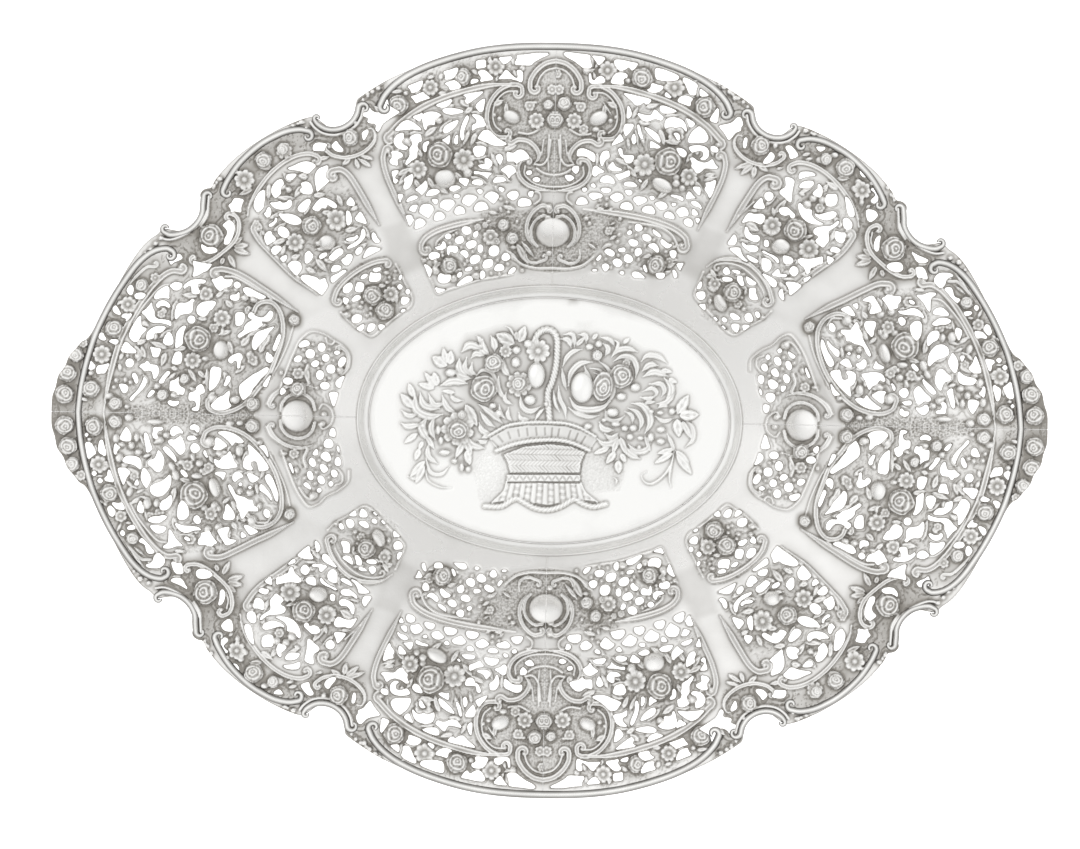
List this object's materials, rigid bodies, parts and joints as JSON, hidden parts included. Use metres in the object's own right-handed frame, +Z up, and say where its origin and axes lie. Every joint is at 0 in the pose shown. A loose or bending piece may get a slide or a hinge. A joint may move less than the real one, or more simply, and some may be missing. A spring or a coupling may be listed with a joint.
{
  "type": "fruit bowl",
  "caption": "Oval footed fruit bowl in pierced and embossed silver sheet with a scalloped rim, a flat well and flower crests at both ends.",
  "frame": {"origin": "middle of the bowl's footprint, on the surface that it stands on", "axes": "+X along the bowl's length, +Y across it, +Z up out of the bowl"},
  "size_m": [0.3972, 0.3012, 0.0657],
  "materials": {
    "floor_silver": "polished, dark in the recesses of the relief",
    "wall_silver": "polished on the high parts, oxidised grey in the recesses",
    "rim_silver": "polished, slightly worn"
  },
  "bodies": {
    "root": {"well_plate": "floor_silver", "well_collar": "floor_silver", "foot_ring": "rim_silver", "wall_panel_ne": "wall_silver", "wall_panel_nw": "wall_silver", "wall_panel_sw": "wall_silver", "wall_panel_se": "wall_silver", "rim_bow_n": "rim_silver", "rim_bow_ne": "rim_silver", "rim_bow_e": "rim_silver", "rim_bow_se": "rim_silver", "rim_bow_s": "rim_silver", "rim_bow_sw": "rim_silver", "rim_bow_w": "rim_silver", "rim_bow_nw": "rim_silver", "rim_scroll_nne": "rim_silver", "rim_scroll_ene": "rim_silver", "rim_scroll_ese": "rim_silver", "rim_scroll_sse": "rim_silver", "rim_scroll_ssw": "rim_silver", "rim_scroll_wsw": "rim_silver", "rim_scroll_wnw": "rim_silver", "rim_scroll_nnw": "rim_silver"}
  },
  "joints": []
}
